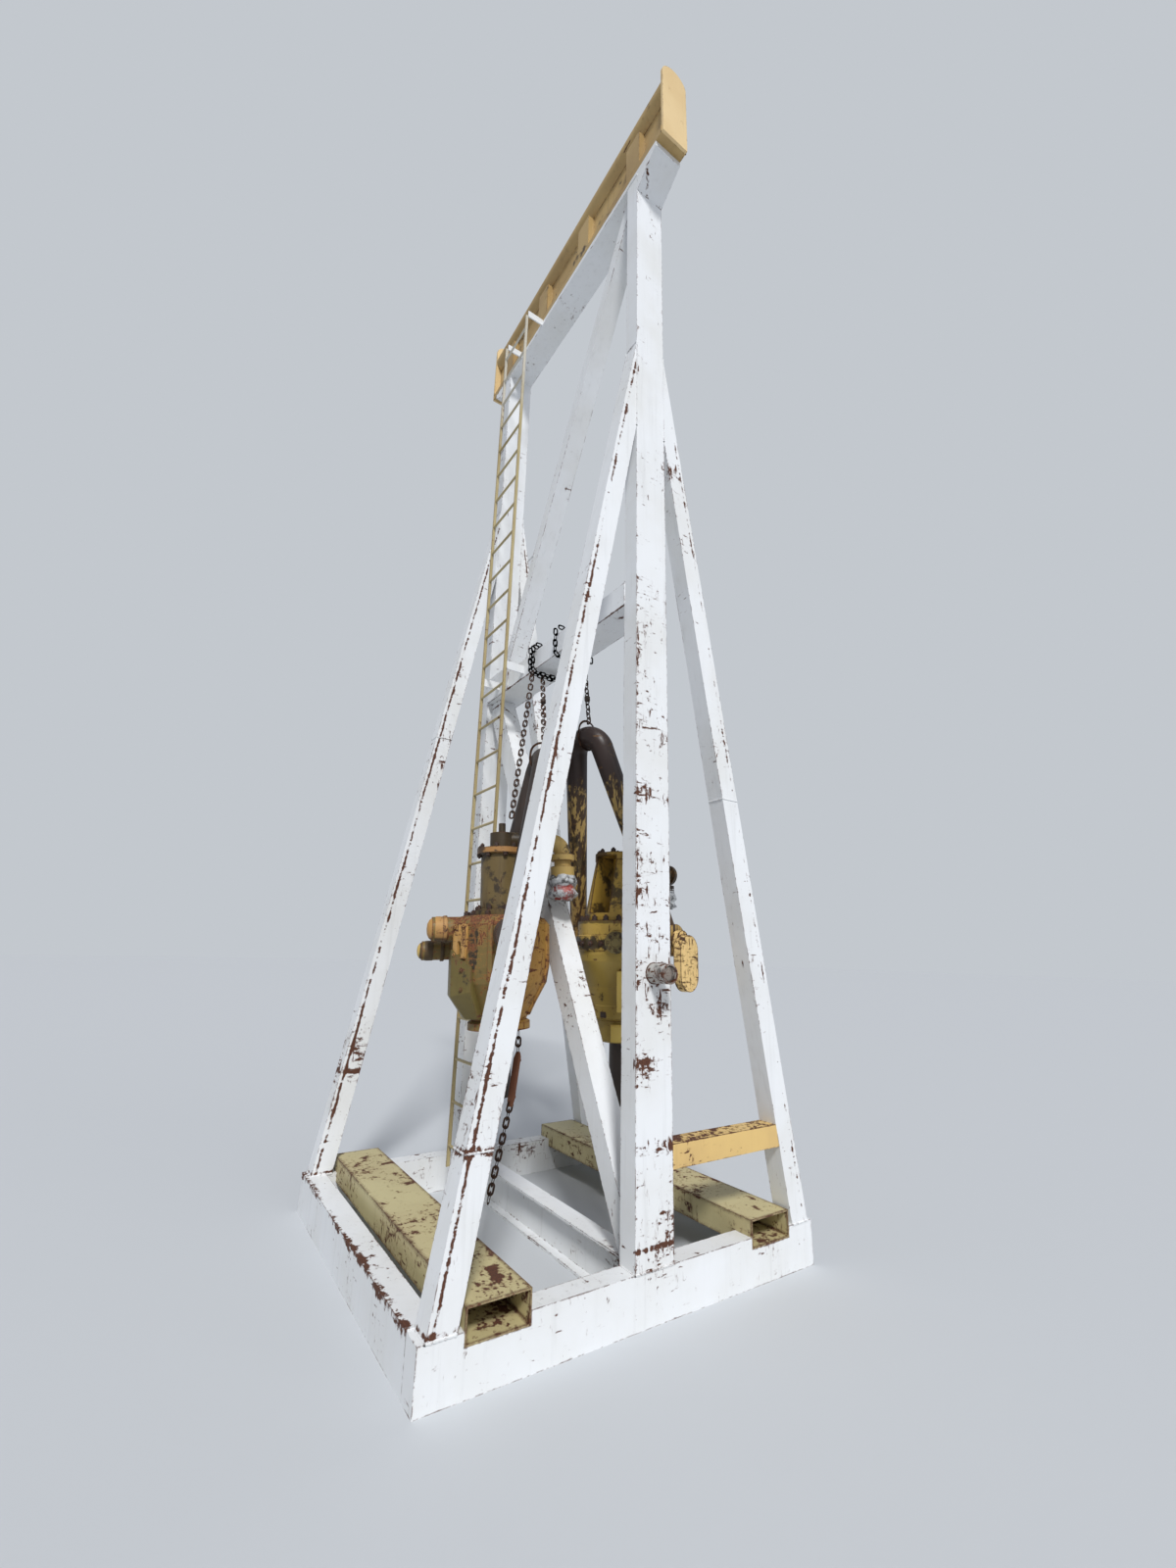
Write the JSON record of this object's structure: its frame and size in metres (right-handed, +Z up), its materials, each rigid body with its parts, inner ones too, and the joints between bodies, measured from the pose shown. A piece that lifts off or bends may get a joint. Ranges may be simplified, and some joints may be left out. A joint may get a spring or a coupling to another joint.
{
  "type": "oil rig swivel hanging frame",
  "caption": "Free-standing welded A-frame stand with a lifting beam, ladder and fork pockets; rotary swivels hang from its cross beam by chains.",
  "frame": {"origin": "on the ground at the middle of the base", "axes": "+X along the lifting beam from the ladder end to the other A-frame, +Y across the frame, +Z up"},
  "size_m": [3.164, 2.568, 9.2089],
  "materials": {
    "white_paint": "worn white paint over rust",
    "yellow_paint": "pale yellow paint",
    "tan_paint": "worn tan paint",
    "rusty_paint": "orange paint gone to rust",
    "swivel_paint": "chipped yellow paint",
    "chain_steel": "dark rusty chain",
    "dark_steel": "dark rusty forging"
  },
  "bodies": {
    "frame": {"base_near_beam": "white_paint", "base_far_beam": "white_paint", "base_left_beam": "white_paint", "base_right_beam": "white_paint", "base_centre_beam": "white_paint", "fork_pocket_left": "tan_paint", "fork_pocket_right": "tan_paint", "near_post": "white_paint", "far_post": "white_paint", "near_left_leg": "white_paint", "near_right_leg": "white_paint", "far_left_leg": "white_paint", "far_right_leg": "white_paint", "tie_beam": "yellow_paint", "cross_beam": "white_paint", "cross_beam_collar": "white_paint", "upper_brace": "white_paint", "lower_brace": "white_paint", "head_plate": "white_paint", "top_beam": "yellow_paint", "top_rail": "yellow_paint", "beam_stiffeners": "yellow_paint", "near_end_plate": "yellow_paint", "far_end_plate": "yellow_paint", "ladder": "tan_paint", "ladder_brackets": "white_paint", "post_peg": "white_paint", "left_bail": "dark_steel", "right_bail": "swivel_paint", "left_chain": "chain_steel", "right_chain": "chain_steel"},
    "left_swivel": {"left_body": "rusty_paint", "left_bonnet": "rusty_paint", "left_gooseneck": "rusty_paint", "left_stem": "dark_steel"},
    "right_swivel": {"right_body": "swivel_paint", "right_bonnet": "swivel_paint", "right_gooseneck": "swivel_paint", "right_stem": "dark_steel"}
  },
  "joints": [
    {"name": "left_swing", "type": "hinge", "parent": "frame", "child": "left_swivel", "pos_m": [0.131, -0.463, 1.95], "axis": [0.9563, -0.2924, 0], "range_deg": [-4, 4]},
    {"name": "right_swing", "type": "hinge", "parent": "frame", "child": "right_swivel", "pos_m": [0.285, 0.485, 1.95], "axis": [0.9744, 0.225, 0], "range_deg": [-4, 4]}
  ]
}
